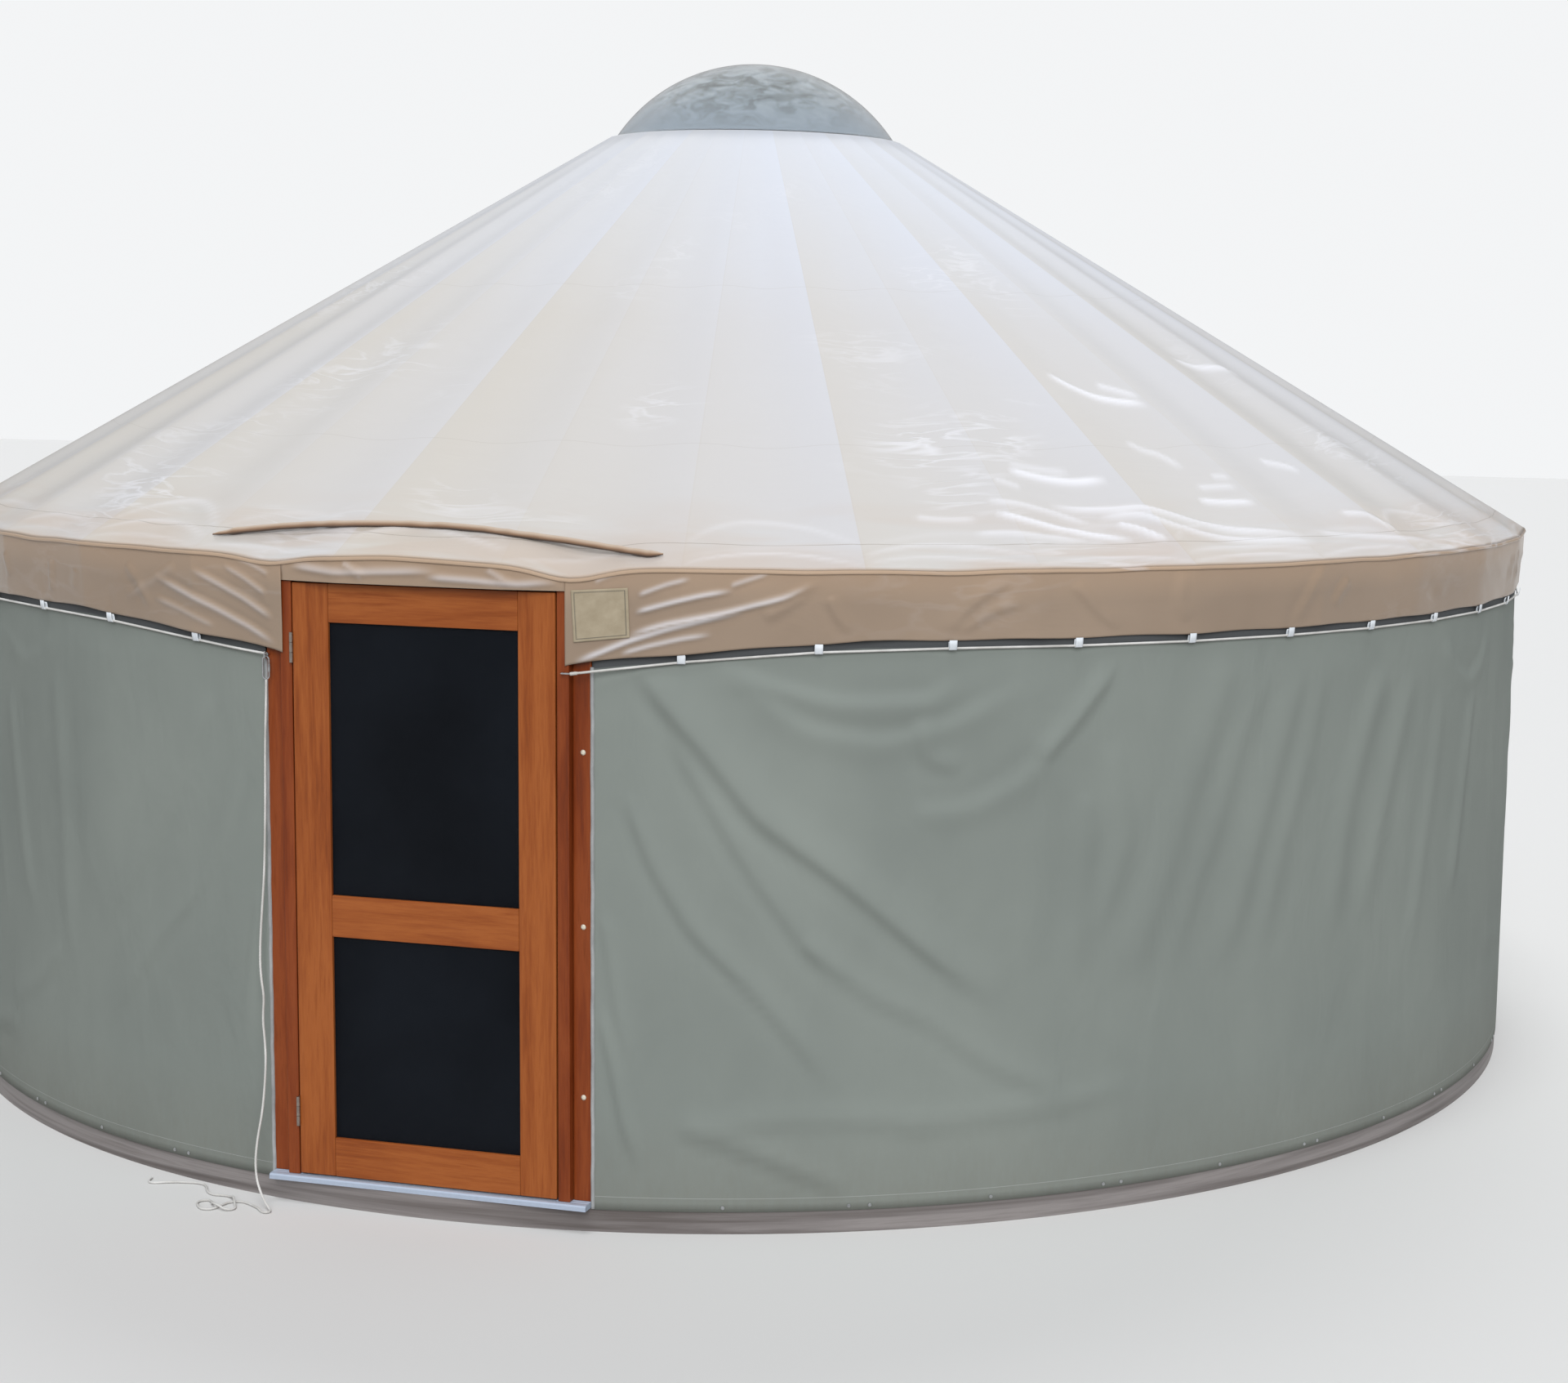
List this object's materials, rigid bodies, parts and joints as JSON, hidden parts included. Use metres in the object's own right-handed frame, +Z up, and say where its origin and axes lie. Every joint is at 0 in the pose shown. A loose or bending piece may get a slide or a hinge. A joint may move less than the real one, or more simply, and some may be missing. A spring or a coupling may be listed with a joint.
{
  "type": "fabric yurt",
  "caption": "Round fabric yurt on a low timber platform, with a wooden screen door, lattice wall, rafters and a clear dome.",
  "frame": {"origin": "centre of the base circle, on the ground", "axes": "+Z up, door facing -Y, door centre in the plane X = 0"},
  "size_m": [6.6606, 6.7844, 4.1039],
  "materials": {
    "wall_fabric": "matt coated fabric, grey",
    "roof_fabric": "glossy coated fabric, warm beige",
    "lattice_wood": "bare softwood laths",
    "roof_wood": "bare softwood",
    "door_wood": "stained and oiled, reddish brown",
    "leaf_wood": "stained and oiled, warm brown",
    "screen_mesh": "dark fine mesh",
    "rim_board": "weathered grey",
    "platform_wood": "plywood and joists",
    "sill_metal": "mill finish",
    "clear_acrylic": "clear, slightly smoky",
    "piping": "light grey welt",
    "rope": "white braid",
    "steel_cable": "stranded",
    "hardware_steel": "zinc plated"
  },
  "bodies": {
    "yurt": {"compression_ring": "roof_wood", "dome": "clear_acrylic", "door_head": "door_wood", "door_jamb_left": "door_wood", "door_jamb_right": "door_wood", "door_sill": "sill_metal", "edge_piping": "piping", "free_rope": "rope", "hinge_jamb_side": "hardware_steel", "lattice_panel_1": "lattice_wood", "lattice_panel_2": "lattice_wood", "lattice_panel_3": "lattice_wood", "lattice_panel_4": "lattice_wood", "lattice_panel_5": "lattice_wood", "lattice_panel_6": "lattice_wood", "platform_floor": "platform_wood", "platform_joists": "platform_wood", "platform_rim": "rim_board", "rafters_1": "roof_wood", "rafters_2": "roof_wood", "rafters_3": "roof_wood", "rafters_4": "roof_wood", "rain_diverter": "roof_fabric", "roof_cover_back": "roof_fabric", "roof_cover_front": "roof_fabric", "roof_cover_left_back": "roof_fabric", "roof_cover_left_front": "roof_fabric", "roof_cover_right_back": "roof_fabric", "roof_cover_right_front": "roof_fabric", "rope_hook": "hardware_steel", "screw_eye": "hardware_steel", "snap_link": "hardware_steel", "tension_cable": "steel_cable", "valance_flap": "roof_fabric", "valance_front_left": "roof_fabric", "valance_front_right": "roof_fabric", "valance_rope": "rope", "wall_cover_1": "wall_fabric", "wall_cover_2": "wall_fabric", "wall_cover_3": "wall_fabric", "wall_cover_4": "wall_fabric", "wall_cover_5": "wall_fabric", "wall_cover_6": "wall_fabric"},
    "screen_door": {"hinge_leaf_side": "hardware_steel", "leaf_bottom_rail": "leaf_wood", "leaf_middle_rail": "leaf_wood", "leaf_screens": "screen_mesh", "leaf_stile_left": "leaf_wood", "leaf_stile_right": "leaf_wood", "leaf_top_rail": "leaf_wood"}
  },
  "joints": [
    {"name": "screen_door_hinge", "type": "hinge", "parent": "yurt", "child": "screen_door", "pos_m": [-0.4645, -3.2923, 1.1], "axis": [0, 0, -1], "range_deg": [0, 110]}
  ]
}
